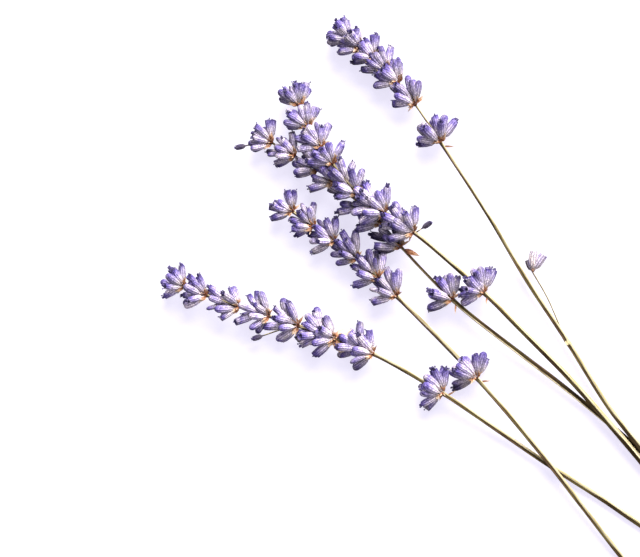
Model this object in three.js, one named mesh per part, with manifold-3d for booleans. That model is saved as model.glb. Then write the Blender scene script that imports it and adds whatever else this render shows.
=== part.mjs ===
// A loose bunch of dried lavender, lying on a flat surface.
//
// Five flowering stems fan out from their cut ends. Each stem carries rings of small
// tubular flowers, called whorls: a spike of them at the tip, and one more whorl lower down.
// Millimetres, +Z up. +X runs from the cut ends towards the flower tips. The surface is Z = 0,
// and the origin lies on it, below the middle of the bunch.

import * as THREE from 'three';
import { mergeVertices } from 'three/addons/utils/BufferGeometryUtils.js';
import Module from 'manifold-3d';

const wasm = await Module();
wasm.setup();

// ---------------------------------------------------------------------------------------
// Driving dimensions

// the whole bunch, between the ends of its stems
const BUNCH_LENGTH = 213;
const BUNCH_WIDTH = 97;

// stems: thick at the cut end, thin where the last flowers sit
const STEM_DIAMETER = 2.2;
const STEM_TOP_DIAMETER = 1.3;
const STEM_SIDES = 8;
const STEM_STEPS = 26;

// one flower: a ribbed tube, the calyx, with its short stalk and withered petals, as a spindle
const FLOWER_LENGTH = 7.2;
const FLOWER_DIAMETER = 2.6;
const FLOWER_SIDES = 4;

// its outline, as shares of its length and radius: widest at the belly, narrower at the mouth
const BELLY_HEIGHT = 0.42;
const MOUTH_HEIGHT = 0.88;
const MOUTH_RADIUS = 0.8;

// one whorl: flowers around a small collar on the stem, in a steep and a wide row
const FLOWERS_PER_WHORL = 8;
const STEEP_TILT = 26;
const WIDE_TILT = 60;
const COLLAR_LENGTH = 3.6;
const COLLAR_WALL = 1;
const COLLAR_SIDES = 6;

// the youngest whorls, at the tip, are the smallest
const TIP_WHORL_SIZE = 0.86;
const WHORL_SIZE_STEP = 0.05;

// hair-thin stalks, and papery bracts
const STALK_DIAMETER = 0.7;
const STALK_SIDES = 5;
const STALK_STEPS = 8;
const BRACT_THICKNESS = 0.5;
const BRACT_WIDEST_HEIGHT = 0.45;
const BRACT_EDGE_SEGMENTS = 4;

// air between pieces that touch, and the height of a spike's stem above a bare stem's
const GAP = 0.3;
const SPIKE_LIFT = 4.5;

// the flowers on the side stalk, and how far from its end their collar sits
const SIDE_FLOWER_COUNT = 3;
const SIDE_FLOWER_SIZE = 0.8;
const SIDE_FLOWER_STATION = 0.9;

// ---------------------------------------------------------------------------------------
// How the stems lie
//
// A route runs from the tip to the cut end. Each point is [along, across, layer, lift]: layer
// counts the stems that lie underneath, and lift is 1 where flowers hold the stem up.
// Routes are drawn for a bunch of the two sizes below, and stretched to the real one.

const DRAWN_LENGTH = 213;
const DRAWN_WIDTH = 97;

const STEMS = {
  a: {
    route: [
      [45, -66.3, 0, 1], [28, -66.8, 0, 1], [14, -64.3, 0, 1], [-1, -60, 0, 1],
      [-30.5, -51, 0, 0.8], [-52, -43.5, 0, 0.55], [-76.5, -36.3, 0.3, 0.3],
      [-101, -28.5, 0.7, 0.1], [-120, -24.7, 0.95, 0.05], [-137, -21.3, 0.7, 0], [-156, -18, 0.3, 0],
    ],
    whorls: [1, 5.5, 11, 17.5, 23.5, 32, 47.5],
  },
  b: {
    route: [
      [43.5, -40, 0, 1.3], [35.6, -35.9, 0, 1.6], [20.5, -31.4, 0, 2], [9, -29.3, 0, 2.1],
      [-2.5, -30.3, 0, 2.1], [-13.6, -31.4, 0, 1.9], [-43.6, -31.1, 0, 1.35],
      [-60.3, -29.7, 0.2, 0.9], [-84, -27.6, 0.7, 0.45], [-99.8, -25.3, 0.9, 0.15],
      [-119.4, -22, 0.8, 0.05], [-138, -18.4, 0.4, 0], [-159, -14.3, 0, 0],
    ],
    whorls: [1, 9, 17, 24.5, 36.5, 48, 59.5, 89.5],
  },
  c: {
    route: [
      [42.5, -23.8, 0, 1], [33, -25.3, 0, 1], [24, -26.9, 0, 0.95], [5.5, -27.3, 0, 0.95],
      [-3.4, -26.9, 0, 1], [-12.6, -25.3, 0, 1], [-37.7, -22.7, 0, 1], [-65, -23.4, 0, 0.6],
      [-81.2, -24.2, 0, 0.35], [-99.7, -24.6, 0, 0.12], [-117.3, -24.4, 0, 0.02], [-157, -24, 0, 0],
    ],
    whorls: [1, 9.5, 19, 25.5, 37.5, 46.5, 56, 81],
  },
  d: {
    route: [
      [22.5, -11.1, 0, 1], [13, -11.6, 0, 1], [-4.8, -12.9, 0, 1], [-23.5, -11.7, 0, 1],
      [-52.7, -9, 0, 1], [-72.3, -6.3, 0.3, 0.65], [-97.7, -1.7, 0.8, 0.2],
      [-107.4, 0.4, 0.7, 0.12], [-135, 6.3, 0.15, 0.03], [-166, 12.5, 0, 0],
    ],
    whorls: [1, 9.5, 18, 27.5, 36.5, 45.5, 83.5],
  },
  e: {
    route: [
      [34.3, 31.2, 0, 1], [25, 28.3, 0, 1], [5.7, 20.6, 0, 1], [-15.4, 12.4, 0, 1],
      [-28.7, 7.9, 0, 1], [-54.4, 3.1, 0, 0.95], [-71.5, 1.2, 0, 0.5], [-97.7, -1.5, 0, 0.12],
      [-118.9, -4.3, 0, 0.03], [-133, -5.7, 0, 0], [-168, -9.4, 0, 0],
    ],
    whorls: [1, 9.5, 20.5, 31, 41, 53.5, 67.5, 93.5],
  },
};

// Papery bracts: on which stem, how far from its tip, the turn around the stem from straight
// up, the lean away from the tip's direction, and the blade's length and width.
const BRACTS = [
  { name: 'stem_e_papery_bract_1', stem: 'e', station: 55, turn: 80, tilt: 138, length: 5, width: 2.8 },
  { name: 'stem_e_papery_bract_2', stem: 'e', station: 55, turn: -80, tilt: 150, length: 5, width: 2.8 },
  { name: 'stem_c_red_bract', stem: 'c', station: 57.8, turn: 50, tilt: 160, length: 5.5, width: 2.4 },
  { name: 'stem_b_narrow_bract', stem: 'b', station: 49.8, turn: 80, tilt: 138, length: 5, width: 1.2 },
  { name: 'stem_a_lower_bract', stem: 'a', station: 49.3, turn: 60, tilt: 130, length: 4, width: 2.2 },
  { name: 'stem_b_lower_bract', stem: 'b', station: 91.3, turn: -50, tilt: 130, length: 4, width: 2.2 },
  { name: 'stem_c_lower_bract', stem: 'c', station: 82.8, turn: -60, tilt: 130, length: 4, width: 2.2 },
  { name: 'stem_d_lower_bract', stem: 'd', station: 85.3, turn: 60, tilt: 130, length: 4, width: 2.2 },
  { name: 'stem_e_lower_bract', stem: 'e', station: 95.3, turn: 60, tilt: 130, length: 4, width: 2.2 },
];

// Single flowers that stand off their whorl on a stalk.
const STALKED_BUDS = [
  { name: 'stem_c_tip_bud', stem: 'c', station: 1, turn: -90, tilt: 38, stalk: 7.5, size: 0.5 },
  { name: 'stem_b_stray_bud', stem: 'b', station: 60, turn: 75, tilt: 110, stalk: 2.2, size: 0.5 },
  { name: 'stem_e_stalked_bud', stem: 'e', station: 41, turn: -95, tilt: 33, stalk: 10.5, size: 0.6 },
];

// The side branch of one stem: its place, and its course from there [along, across, up].
const SIDE_BRANCH = {
  stem: 'a',
  station: 127,
  course: [[2.2, -1.1, 0.2], [16, -7.3, 0.9], [23.2, -9.2, 1.3], [24.8, -10.8, 1.5]],
};

// ---------------------------------------------------------------------------------------
// Colours

const FLOWER_COLOUR = 0x8d86c4;
const STEM_COLOUR = 0x8f8a4e;
const BRACT_COLOUR = 0xc58a55;
const STALK_COLOUR = 0xa8894f;

const FLOWER_ROUGHNESS = 0.9;
const STEM_ROUGHNESS = 0.7;
const BRACT_ROUGHNESS = 0.85;
const STALK_ROUGHNESS = 0.8;

function dryMatter(colour, roughness) {
  return new THREE.MeshStandardMaterial({ color: colour, roughness, metalness: 0 });
}

// ---------------------------------------------------------------------------------------
// Solids

// A closed geometry as a solid that can be joined and cut.
function solidOf(geometry) {
  const bare = geometry.index ? geometry.toNonIndexed() : geometry.clone();
  bare.deleteAttribute('normal');
  bare.deleteAttribute('uv');
  const welded = mergeVertices(bare, 1e-4);
  const corners = welded.index.array;
  const triangles = [];
  for (let i = 0; i < corners.length; i += 3) {
    const [p, q, r] = [corners[i], corners[i + 1], corners[i + 2]];
    if (p !== q && q !== r && r !== p) {
      triangles.push(p, q, r);
    }
  }
  const mesh = new wasm.Mesh({
    numProp: 3,
    vertProperties: new Float32Array(welded.attributes.position.array),
    triVerts: new Uint32Array(triangles),
  });
  return new wasm.Manifold(mesh);
}

// Cutting can leave crumbs: the piece itself is the largest body.
function largestBody(solid) {
  const bodies = solid.decompose();
  return bodies.reduce((best, body) => (body.volume() > best.volume() ? body : best));
}

function geometryOf(solid) {
  const { numProp, vertProperties, triVerts } = solid.getMesh();
  const places = new Float32Array(triVerts.length * 3);
  triVerts.forEach((vertex, i) => {
    places.set(vertProperties.subarray(vertex * numProp, vertex * numProp + 3), i * 3);
  });
  const geometry = new THREE.BufferGeometry();
  geometry.setAttribute('position', new THREE.BufferAttribute(places, 3));
  geometry.computeVertexNormals();
  return geometry;
}

// A round tube along a curve, tapering evenly from its start to its end.
function taperedTube(curve, startDiameter, endDiameter, sides, steps) {
  const section = new THREE.Shape();
  for (let i = 0; i < sides; i += 1) {
    const angle = (2 * Math.PI * i) / sides;
    const move = i === 0 ? 'moveTo' : 'lineTo';
    section[move](Math.cos(angle) / 2, Math.sin(angle) / 2);
  }
  section.closePath();
  const tube = new THREE.ExtrudeGeometry(section, { extrudePath: curve, steps, bevelEnabled: false });
  const middles = curve.getSpacedPoints(steps);
  const places = tube.attributes.position;
  const point = new THREE.Vector3();
  for (let i = 0; i < places.count; i += 1) {
    point.fromBufferAttribute(places, i);
    const distances = middles.map((middle) => middle.distanceToSquared(point));
    const ring = distances.indexOf(Math.min(...distances));
    const diameter = THREE.MathUtils.lerp(startDiameter, endDiameter, ring / steps);
    point.sub(middles[ring]).multiplyScalar(diameter).add(middles[ring]);
    places.setXYZ(i, point.x, point.y, point.z);
  }
  return tube;
}

// A lathe turned about +Y from [radius, height] corners that start and end on the axis.
function turned(corners, sides) {
  const points = corners.map(([radius, height]) => new THREE.Vector2(radius, height));
  return new THREE.LatheGeometry(points, sides);
}

// One flower along +Y from its base, with its flat sides grown outwards by a margin.
function flowerGeometry(size, margin) {
  const length = FLOWER_LENGTH * size;
  const radius = (FLOWER_DIAMETER * size) / 2 + margin / Math.cos(Math.PI / FLOWER_SIDES);
  const outline = [
    [0, -margin],
    [radius, length * BELLY_HEIGHT],
    [radius * MOUTH_RADIUS, length * MOUTH_HEIGHT],
    [0, length + margin],
  ];
  return turned(outline, FLOWER_SIDES);
}

// A papery bract along +Y from its base: a pointed oval blade.
function bractGeometry(length, width) {
  const blade = new THREE.Shape();
  blade.moveTo(0, 0);
  blade.quadraticCurveTo(width, length * BRACT_WIDEST_HEIGHT, 0, length);
  blade.quadraticCurveTo(-width, length * BRACT_WIDEST_HEIGHT, 0, 0);
  const options = {
    depth: BRACT_THICKNESS,
    bevelEnabled: false,
    curveSegments: BRACT_EDGE_SEGMENTS,
  };
  return new THREE.ExtrudeGeometry(blade, options).translate(0, 0, -BRACT_THICKNESS / 2);
}

// ---------------------------------------------------------------------------------------
// Places on a stem

function heightOf(layer, lift) {
  return STEM_DIAMETER / 2 + layer * (STEM_DIAMETER + GAP) + lift * SPIKE_LIFT;
}

function routePoints(route) {
  return route.map(([along, across, layer, lift]) => new THREE.Vector3(
    (along * BUNCH_LENGTH) / DRAWN_LENGTH,
    (across * BUNCH_WIDTH) / DRAWN_WIDTH,
    heightOf(layer, lift),
  ));
}

// A smooth curve through points, its tip moved outwards by a margin.
function curveThrough(points, margin) {
  const [tip, next, ...others] = points;
  const outwards = tip.clone().sub(next).setLength(margin);
  const moved = [tip.clone().add(outwards), next, ...others];
  return new THREE.CatmullRomCurve3(moved, false, 'centripetal');
}

// The frame at a station: its Y runs along the stem towards the tip, and its Z points up.
function frameAt(curve, station) {
  const share = Math.min(station / curve.getLength(), 1);
  const towardsTip = curve.getTangentAt(share).negate();
  const side = new THREE.Vector3().crossVectors(towardsTip, new THREE.Vector3(0, 0, 1)).normalize();
  const up = new THREE.Vector3().crossVectors(side, towardsTip);
  return new THREE.Matrix4().makeBasis(side, towardsTip, up).setPosition(curve.getPointAt(share));
}

// Leans a piece that stands along +Y outwards, starts it at a distance from the stem's axis,
// and turns it about that axis from straight up.
function placed(geometry, frame, turn, tilt, start) {
  const lean = new THREE.Matrix4().makeRotationX(THREE.MathUtils.degToRad(tilt));
  const outwards = new THREE.Matrix4().makeTranslation(0, 0, start);
  const spin = new THREE.Matrix4().makeRotationY(THREE.MathUtils.degToRad(turn));
  return geometry.applyMatrix4(frame.clone().multiply(spin).multiply(outwards).multiply(lean));
}

// ---------------------------------------------------------------------------------------
// Pieces, before their neighbours are cut away

function stemDiameterAt(curve, station) {
  const share = Math.min(station / curve.getLength(), 1);
  return THREE.MathUtils.lerp(STEM_TOP_DIAMETER, STEM_DIAMETER, share);
}

// A whorl around a round core: its flowers joined by a collar.
function whorlSolid(frame, coreDiameter, size, count, margin) {
  const collarRadius = coreDiameter / 2 + GAP + COLLAR_WALL + margin;
  const half = COLLAR_LENGTH / 2 + margin;
  const collar = turned([[0, -half], [collarRadius, 0], [0, half]], COLLAR_SIDES);
  const start = coreDiameter / 2 + GAP + COLLAR_WALL / 2;
  let solid = solidOf(collar.applyMatrix4(frame));
  for (let i = 0; i < count; i += 1) {
    const tilt = i % 2 === 0 ? WIDE_TILT : STEEP_TILT;
    const turn = (360 * i) / count;
    const flower = placed(flowerGeometry(size, margin), frame, turn, tilt, start);
    solid = solid.add(solidOf(flower));
  }
  return solid;
}

// A single flower at the end of its own straight stalk.
function stalkedBudSolid(frame, bud, margin) {
  const stalkRadius = STALK_DIAMETER / 2 + margin;
  const reach = bud.stalk + FLOWER_LENGTH * bud.size * BELLY_HEIGHT;
  const outline = [[0, -margin], [stalkRadius, -margin], [stalkRadius, reach], [0, reach]];
  const stalk = turned(outline, STALK_SIDES);
  const flower = flowerGeometry(bud.size, margin).translate(0, bud.stalk, 0);
  const start = STEM_TOP_DIAMETER / 2 + GAP;
  return solidOf(placed(stalk, frame, bud.turn, bud.tilt, start))
    .add(solidOf(placed(flower, frame, bud.turn, bud.tilt, start)));
}

// ---------------------------------------------------------------------------------------
// The bunch

const bunch = new THREE.Group();

// What is already in place, each with the room that it needs around it.
const keptClear = [];

const floorSize = 2 * (BUNCH_LENGTH + BUNCH_WIDTH);
const belowFloor = solidOf(new THREE.BoxGeometry(floorSize, floorSize, floorSize)
  .translate(0, 0, -floorSize / 2));

function boxesMeet(first, second) {
  return first.min.every((low, axis) => low < second.max[axis] && second.min[axis] < first.max[axis]);
}

// Cuts the floor and every earlier neighbour's room out of a piece, and adds it to the bunch.
function addPiece(name, solid, room, material) {
  let own = solid.subtract(belowFloor);
  for (const neighbour of keptClear) {
    if (boxesMeet(own.boundingBox(), neighbour.boundingBox())) {
      own = own.subtract(neighbour);
    }
  }
  const mesh = new THREE.Mesh(geometryOf(largestBody(own)), material);
  mesh.name = name;
  bunch.add(mesh);
  if (room) {
    keptClear.push(room);
  }
}

const curves = {};
const stemRooms = [];
for (const [letter, { route }] of Object.entries(STEMS)) {
  const points = routePoints(route);
  curves[letter] = curveThrough(points, 0);
  const tube = taperedTube(curves[letter], STEM_TOP_DIAMETER, STEM_DIAMETER, STEM_SIDES, STEM_STEPS);
  addPiece(`stem_${letter}`, solidOf(tube), null, dryMatter(STEM_COLOUR, STEM_ROUGHNESS));
  stemRooms.push(solidOf(taperedTube(curveThrough(points, GAP), STEM_TOP_DIAMETER + 2 * GAP,
    STEM_DIAMETER + 2 * GAP, STEM_SIDES, STEM_STEPS)));
}
keptClear.push(...stemRooms);

// whorls that lie on the surface come first, and the stem that leans on them comes last
const LYING_ORDER = ['e', 'd', 'c', 'a', 'b'];
for (const letter of LYING_ORDER) {
  const curve = curves[letter];
  const stations = STEMS[letter].whorls;
  stations.forEach((station, index) => {
    const isLower = index === stations.length - 1;
    const name = isLower ? `stem_${letter}_lower_whorl` : `stem_${letter}_whorl_${index + 1}`;
    const size = Math.min(1, TIP_WHORL_SIZE + WHORL_SIZE_STEP * index);
    const frame = frameAt(curve, station);
    const core = stemDiameterAt(curve, station);
    const whorl = whorlSolid(frame, core, size, FLOWERS_PER_WHORL, 0);
    const room = whorlSolid(frame, core, size, FLOWERS_PER_WHORL, GAP);
    addPiece(name, whorl, room, dryMatter(FLOWER_COLOUR, FLOWER_ROUGHNESS));
  });
}

// the side branch: a thin stalk that leaves its stem, with a few flowers at its end
const branchStem = curves[SIDE_BRANCH.stem];
const branchStart = branchStem.getPointAt(SIDE_BRANCH.station / branchStem.getLength());
const branchPoints = SIDE_BRANCH.course.map(
  ([along, across, up]) => branchStart.clone().add(new THREE.Vector3(along, across, up)),
).reverse();
const branchCurve = curveThrough(branchPoints, 0);
const roomDiameter = STALK_DIAMETER + 2 * GAP;
const sideStalk = taperedTube(branchCurve, STALK_DIAMETER, STALK_DIAMETER, STALK_SIDES, STALK_STEPS);
const sideRoom = taperedTube(curveThrough(branchPoints, GAP), roomDiameter, roomDiameter,
  STALK_SIDES, STALK_STEPS);
addPiece(`stem_${SIDE_BRANCH.stem}_side_stalk`, solidOf(sideStalk), solidOf(sideRoom),
  dryMatter(STALK_COLOUR, STALK_ROUGHNESS));

const sideFrame = frameAt(branchCurve, SIDE_FLOWER_STATION);
addPiece(`stem_${SIDE_BRANCH.stem}_side_flowers`,
  whorlSolid(sideFrame, STALK_DIAMETER, SIDE_FLOWER_SIZE, SIDE_FLOWER_COUNT, 0),
  whorlSolid(sideFrame, STALK_DIAMETER, SIDE_FLOWER_SIZE, SIDE_FLOWER_COUNT, GAP),
  dryMatter(FLOWER_COLOUR, FLOWER_ROUGHNESS));

for (const bud of STALKED_BUDS) {
  const frame = frameAt(curves[bud.stem], bud.station);
  addPiece(bud.name, stalkedBudSolid(frame, bud, 0), stalkedBudSolid(frame, bud, GAP),
    dryMatter(FLOWER_COLOUR, FLOWER_ROUGHNESS));
}

for (const bract of BRACTS) {
  const curve = curves[bract.stem];
  const frame = frameAt(curve, bract.station);
  const start = stemDiameterAt(curve, bract.station) / 2 + GAP;
  const blade = placed(bractGeometry(bract.length, bract.width), frame, bract.turn, bract.tilt, start);
  addPiece(bract.name, solidOf(blade), null, dryMatter(BRACT_COLOUR, BRACT_ROUGHNESS));
}

// the origin lies on the surface, below the middle of the bunch
const middle = new THREE.Box3().setFromObject(bunch).getCenter(new THREE.Vector3());
bunch.position.set(-middle.x, -middle.y, 0);

export default bunch;
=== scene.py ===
# %% [markdown]
# # A loose bunch of dried lavender
#
# Five dry stems lie fanned out on a pale surface. Each one carries whorls, which are rings of
# small tubular flowers: a spike of them at the tip and a single one lower down.
# This lesson starts from a plain model of the bunch, the frame, which fixes where every stem
# and whorl lies. It then puts a finely made piece in the place of each plain one.

# %% Load the frame
import math
import random

import bmesh
import bpy
import numpy as np
from mathutils import Matrix, Vector


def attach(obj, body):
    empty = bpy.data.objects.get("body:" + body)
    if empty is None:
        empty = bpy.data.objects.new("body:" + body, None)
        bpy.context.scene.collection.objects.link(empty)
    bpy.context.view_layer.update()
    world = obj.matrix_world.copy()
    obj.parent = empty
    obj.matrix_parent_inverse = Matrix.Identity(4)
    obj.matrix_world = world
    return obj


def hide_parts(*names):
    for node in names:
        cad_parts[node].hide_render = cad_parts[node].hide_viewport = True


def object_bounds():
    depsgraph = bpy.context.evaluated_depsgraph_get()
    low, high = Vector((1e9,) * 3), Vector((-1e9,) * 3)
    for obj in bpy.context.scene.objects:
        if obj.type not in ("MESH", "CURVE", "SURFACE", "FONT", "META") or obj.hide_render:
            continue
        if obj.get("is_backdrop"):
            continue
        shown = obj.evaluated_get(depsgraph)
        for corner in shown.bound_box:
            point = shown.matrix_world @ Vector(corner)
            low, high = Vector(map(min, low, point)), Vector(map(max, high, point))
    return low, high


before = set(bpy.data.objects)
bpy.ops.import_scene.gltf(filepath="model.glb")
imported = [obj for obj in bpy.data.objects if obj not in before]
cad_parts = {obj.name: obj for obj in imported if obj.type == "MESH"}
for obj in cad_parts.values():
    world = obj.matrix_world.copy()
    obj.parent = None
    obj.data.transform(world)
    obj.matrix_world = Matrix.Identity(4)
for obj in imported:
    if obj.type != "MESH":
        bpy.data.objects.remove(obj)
cad_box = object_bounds()
MM = 0.001
print("the frame has", len(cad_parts), "plain pieces")

# %% [markdown]
# Two helpers keep the work safe. An operator acts on everything that is selected, so each
# step starts with nothing selected. In edit mode, points are picked by where they lie.


# %% Selecting
def start_clean():
    if bpy.context.mode != "OBJECT":
        bpy.ops.object.mode_set(mode="OBJECT")
    bpy.ops.object.select_all(action="DESELECT")


def edit(piece):
    start_clean()
    piece.select_set(True)
    bpy.context.view_layer.objects.active = piece
    bpy.ops.object.mode_set(mode="EDIT")
    bpy.ops.mesh.select_mode(type="VERT")


def pick_points(piece, wanted):
    bpy.ops.mesh.select_all(action="DESELECT")
    mesh = bmesh.from_edit_mesh(piece.data)
    for vert in mesh.verts:
        vert.select_set(wanted(vert.co))
    mesh.select_flush_mode()
    bmesh.update_edit_mesh(piece.data)


def apply_modifier(piece, kind, **settings):
    start_clean()
    piece.select_set(True)
    bpy.context.view_layer.objects.active = piece
    modifier = piece.modifiers.new(kind.lower(), kind)
    for name, value in settings.items():
        setattr(modifier, name, value)
    bpy.ops.object.modifier_apply(modifier=modifier.name)


# %% [markdown]
# Colours are written as the hex values that a colour picker shows, and one function turns them
# into the linear values that the renderer needs. Another adds a node with its settings and
# links, so that a material reads as a list of steps.


# %% Colours and nodes
def linear(hex_colour):
    channels = [int(hex_colour[i:i + 2], 16) / 255 for i in (1, 3, 5)]
    return [c / 12.92 if c <= 0.04045 else ((c + 0.055) / 1.055) ** 2.4 for c in channels] + [1.0]


def add_node(tree, kind, settings=None, inputs=None, stops=()):
    made = tree.nodes.new("ShaderNode" + kind)
    for name, value in (settings or {}).items():
        setattr(made, name, value)
    for place, _ in stops[2:]:
        made.color_ramp.elements.new(place)
    for i, (place, colour) in enumerate(stops):
        made.color_ramp.elements[i].position = place
        made.color_ramp.elements[i].color = linear(colour)
    for name, value in (inputs or {}).items():
        if isinstance(value, bpy.types.NodeSocket):
            tree.links.new(value, made.inputs[name])
        else:
            made.inputs[name].default_value = value
    return made


def new_material(name, **constants):
    material = bpy.data.materials.new(name)
    material.use_nodes = True
    shader = material.node_tree.nodes["Principled BSDF"]
    for socket, value in constants.items():
        shader.inputs[socket.replace("_", " ")].default_value = value
    return material, material.node_tree, shader


# %% [markdown]
# ## Dried lavender calyx
# The calyx is the ribbed tube that stays on the stem when the flower is over. It is woolly:
# short pale hairs over a violet skin, cream at the base and darkest at the mouth. Sheen gives
# the pale edge of the wool. A real calyx has thirteen ribs, which are too fine to show here, so
# ten are drawn, with brown-violet furrows between them. The real hairs are far thinner than a
# tenth of a millimetre, so the wool's grain is drawn coarser as well, until it shows.
# Each flower carries three numbers in an attribute called paint: how far along it a point is,
# how light it is, which is the flower's own lightness with painted light on one side and painted
# shade on the other, and how withered it is. Its UV map holds the turn around it.
# At scale 1 a wave texture runs through 20 radians in one unit, which is one turn here.

# %% Calyx wool
RIB_COUNT = 10
WAVE_TURN = 2 * math.pi / 20
WOOL_GRAIN = 0.42 * MM
BLOTCH_SIZE = 1.3 * MM
FADED_SIZE = 4.0 * MM
BUMP_DEPTH = 0.15 * MM


def calyx_material():
    material, tree, shader = new_material(
        "dried lavender calyx", Roughness=0.9, Sheen_Weight=0.1, Sheen_Roughness=0.4,
        Sheen_Tint=linear("#e6e2fa"), IOR=1.45, Specular_IOR_Level=0.2)
    paint = add_node(tree, "Attribute", {"attribute_name": "paint"})
    parts = add_node(tree, "SeparateColor", inputs={"Color": paint.outputs["Color"]})
    around = add_node(tree, "UVMap", {"uv_map": "flower"})
    ribs = add_node(tree, "TexWave", {"wave_type": "BANDS", "bands_direction": "X"},
                    {"Vector": around.outputs["UV"], "Scale": RIB_COUNT * WAVE_TURN,
                     "Distortion": 1.8, "Detail": 2.0, "Detail Scale": 1.5})
    place = add_node(tree, "TexCoord")
    wool = add_node(tree, "TexNoise", inputs={
        "Vector": place.outputs["Object"], "Scale": 1 / WOOL_GRAIN, "Detail": 2.0})
    blotch = add_node(tree, "TexNoise", inputs={
        "Vector": place.outputs["Object"], "Scale": 1 / BLOTCH_SIZE, "Detail": 2.0})
    uneven = add_node(tree, "Math", {"operation": "MULTIPLY_ADD"}, {
        0: blotch.outputs["Fac"], 1: 0.6, 2: parts.outputs["Red"]})
    along = add_node(tree, "Math", {"operation": "SUBTRACT"}, {0: uneven.outputs[0], 1: 0.3})
    violet = add_node(tree, "ValToRGB", inputs={"Fac": along.outputs[0]}, stops=(
        (0.0, "#ccab96"), (0.14, "#d4c8c8"), (0.42, "#bab0c3"), (0.64, "#a096b7"),
        (0.84, "#796da3"), (1.0, "#4b417c")))
    faded = add_node(tree, "TexNoise", inputs={
        "Vector": place.outputs["Object"], "Scale": 1 / FADED_SIZE, "Detail": 1.0})
    faded_share = add_node(tree, "MapRange", inputs={
        "Value": faded.outputs["Fac"], "From Min": 0.5, "From Max": 0.68, "To Max": 0.65})
    faded_skin = add_node(tree, "Mix", {"data_type": "RGBA"}, {
        "Factor": faded_share.outputs[0], 6: violet.outputs["Color"], 7: linear("#cec4c6")})
    skin = faded_skin.outputs[2]
    furrow = add_node(tree, "MapRange", inputs={
        "Value": ribs.outputs["Fac"], "From Min": 0.45, "From Max": 0.1, "To Max": 1.2})
    furrow_wool = add_node(tree, "Math", {"operation": "MULTIPLY"}, {
        0: furrow.outputs[0], 1: wool.outputs["Fac"]})
    furrowed = add_node(tree, "Mix", {"data_type": "RGBA"}, {
        "Factor": furrow_wool.outputs[0], 6: skin, 7: linear("#382c52")})
    # Green scales the colour: painted light on each flower's lit side, painted shade on its other
    # side and on the lower layers.
    shade = add_node(tree, "MapRange", inputs={
        "Value": parts.outputs["Green"], "To Min": 0.28, "To Max": 2.15})
    wool_spots = add_node(tree, "MapRange", inputs={
        "Value": wool.outputs["Fac"], "From Min": 0.35, "From Max": 0.65, "To Min": 0.5,
        "To Max": 1.45})
    strength = add_node(tree, "Math", {"operation": "MULTIPLY"}, {
        0: shade.outputs[0], 1: wool_spots.outputs[0]})
    lit = add_node(tree, "VectorMath", {"operation": "SCALE"}, {
        0: furrowed.outputs[2], "Scale": strength.outputs[0]})
    withered = add_node(tree, "Mix", {"data_type": "RGBA"}, {
        "Factor": parts.outputs["Blue"], 6: lit.outputs[0], 7: linear("#2c2442")})
    tree.links.new(withered.outputs[2], shader.inputs["Base Color"])
    height = add_node(tree, "Math", {"operation": "MULTIPLY_ADD"}, {
        0: wool.outputs["Fac"], 1: 0.5, 2: ribs.outputs["Fac"]})
    bump = add_node(tree, "Bump", inputs={
        "Height": height.outputs[0], "Strength": 0.7, "Distance": BUMP_DEPTH})
    tree.links.new(bump.outputs["Normal"], shader.inputs["Normal"])
    return material


calyx_wool = calyx_material()
print("made", calyx_wool.name)

# %% [markdown]
# ## Withered petals
# What is left of the petals is a dark blue-violet scrap at the mouth of the calyx, thin and
# crumpled, a little shinier than the wool. The inside of an open calyx is the same dark colour.


# %% Petal scraps
CRUMPLE_SIZE = 0.5 * MM


def petal_material():
    material, tree, shader = new_material("withered lavender petal", Roughness=0.6, IOR=1.45)
    place = add_node(tree, "TexCoord")
    crumple = add_node(tree, "TexNoise", inputs={
        "Vector": place.outputs["Object"], "Scale": 1 / CRUMPLE_SIZE, "Detail": 3.0})
    colour = add_node(tree, "ValToRGB", inputs={"Fac": crumple.outputs["Fac"]}, stops=(
        (0.3, "#1a1430"), (0.5, "#382f5c"), (0.66, "#665b90"), (0.8, "#938ab6")))
    tree.links.new(colour.outputs["Color"], shader.inputs["Base Color"])
    bump = add_node(tree, "Bump", inputs={
        "Height": crumple.outputs["Fac"], "Strength": 0.7, "Distance": BUMP_DEPTH})
    tree.links.new(bump.outputs["Normal"], shader.inputs["Normal"])
    return material


petal_scrap = petal_material()
print("made", petal_scrap.name)

# %% [markdown]
# ## Papery bract
# Each whorl sits in dry pointed leaves called bracts. They are thin as paper, orange-tan, with
# darker veins and a red-brown foot.


# %% Bract paper
MOTTLE_SIZE = 0.7 * MM


def bract_material():
    material, tree, shader = new_material("dry papery bract", Roughness=0.65, IOR=1.45)
    place = add_node(tree, "TexCoord")
    paint = add_node(tree, "Attribute", {"attribute_name": "paint"})
    parts = add_node(tree, "SeparateColor", inputs={"Color": paint.outputs["Color"]})
    mottle = add_node(tree, "TexNoise", inputs={
        "Vector": place.outputs["Object"], "Scale": 1 / MOTTLE_SIZE, "Detail": 3.0})
    mixed = add_node(tree, "Math", {"operation": "MULTIPLY_ADD"}, {
        0: mottle.outputs["Fac"], 1: 1.5, 2: parts.outputs["Red"]})
    along = add_node(tree, "Math", {"operation": "SUBTRACT"}, {0: mixed.outputs[0], 1: 0.6})
    paper = add_node(tree, "ValToRGB", inputs={"Fac": along.outputs[0]}, stops=(
        (0.0, "#42221a"), (0.25, "#854b2d"), (0.5, "#bb7e57"), (0.75, "#d8aa86"),
        (1.0, "#f0d8c0")))
    shade = add_node(tree, "MapRange", inputs={
        "Value": parts.outputs["Green"], "To Min": 0.4, "To Max": 1.15})
    lit = add_node(tree, "VectorMath", {"operation": "SCALE"}, {
        0: paper.outputs["Color"], "Scale": shade.outputs[0]})
    tree.links.new(lit.outputs[0], shader.inputs["Base Color"])
    bump = add_node(tree, "Bump", inputs={
        "Height": mottle.outputs["Fac"], "Strength": 0.5, "Distance": BUMP_DEPTH})
    tree.links.new(bump.outputs["Normal"], shader.inputs["Normal"])
    return material


bract_paper = bract_material()
print("made", bract_paper.name)
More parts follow.
